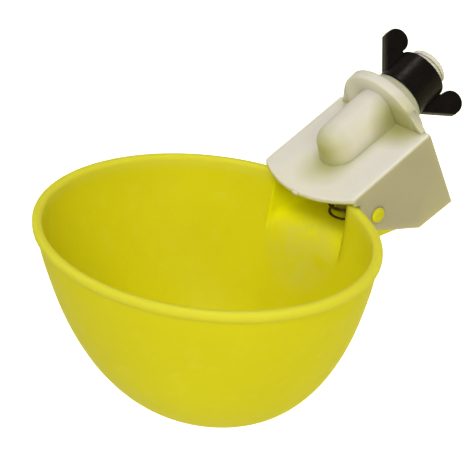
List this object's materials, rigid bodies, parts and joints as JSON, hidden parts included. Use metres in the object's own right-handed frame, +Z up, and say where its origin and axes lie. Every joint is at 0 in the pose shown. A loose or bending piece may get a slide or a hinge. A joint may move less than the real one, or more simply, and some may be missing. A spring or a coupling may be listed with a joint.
{
  "type": "poultry drinking cup",
  "caption": "Hinged poultry drinking cup: an oval bowl tips on pins against a spring to open and shut a water valve, clamped by a threaded stem and wing nut.",
  "frame": {"origin": "on the stem's axis at the rear face of the flange, where the part clamps to a wall", "axes": "+Y out along the stem, +Z up, X across the cup; the cup lies towards -Y"},
  "size_m": [0.085, 0.1119, 0.063],
  "materials": {
    "cup_plastic": "satin moulded polyethylene",
    "housing_plastic": "satin, slightly translucent",
    "nut_plastic": "satin",
    "washer_silicone": "translucent silicone",
    "plug_rubber": "matt rubber",
    "spring_steel": "drawn wire"
  },
  "bodies": {
    "housing": {"valve_body": "housing_plastic", "sealing_washer": "washer_silicone", "return_spring": "spring_steel"},
    "cup": {"cup": "cup_plastic", "valve_plug": "plug_rubber"},
    "nut": {"wing_nut": "nut_plastic"}
  },
  "joints": [
    {"name": "cup_tilt", "type": "hinge", "parent": "housing", "child": "cup", "pos_m": [0, -0.0234, -0.00826], "axis": [1, 0, 0], "range_deg": [0, 12], "stiffness_Nm_per_rad": 0.11, "springref_deg": -6.19, "deforming": ["return_spring"]},
    {"name": "nut_spin", "type": "hinge", "parent": "housing", "child": "nut", "pos_m": [0, 0.009, 0], "axis": [0, 1, 0], "continuous": true}
  ]
}
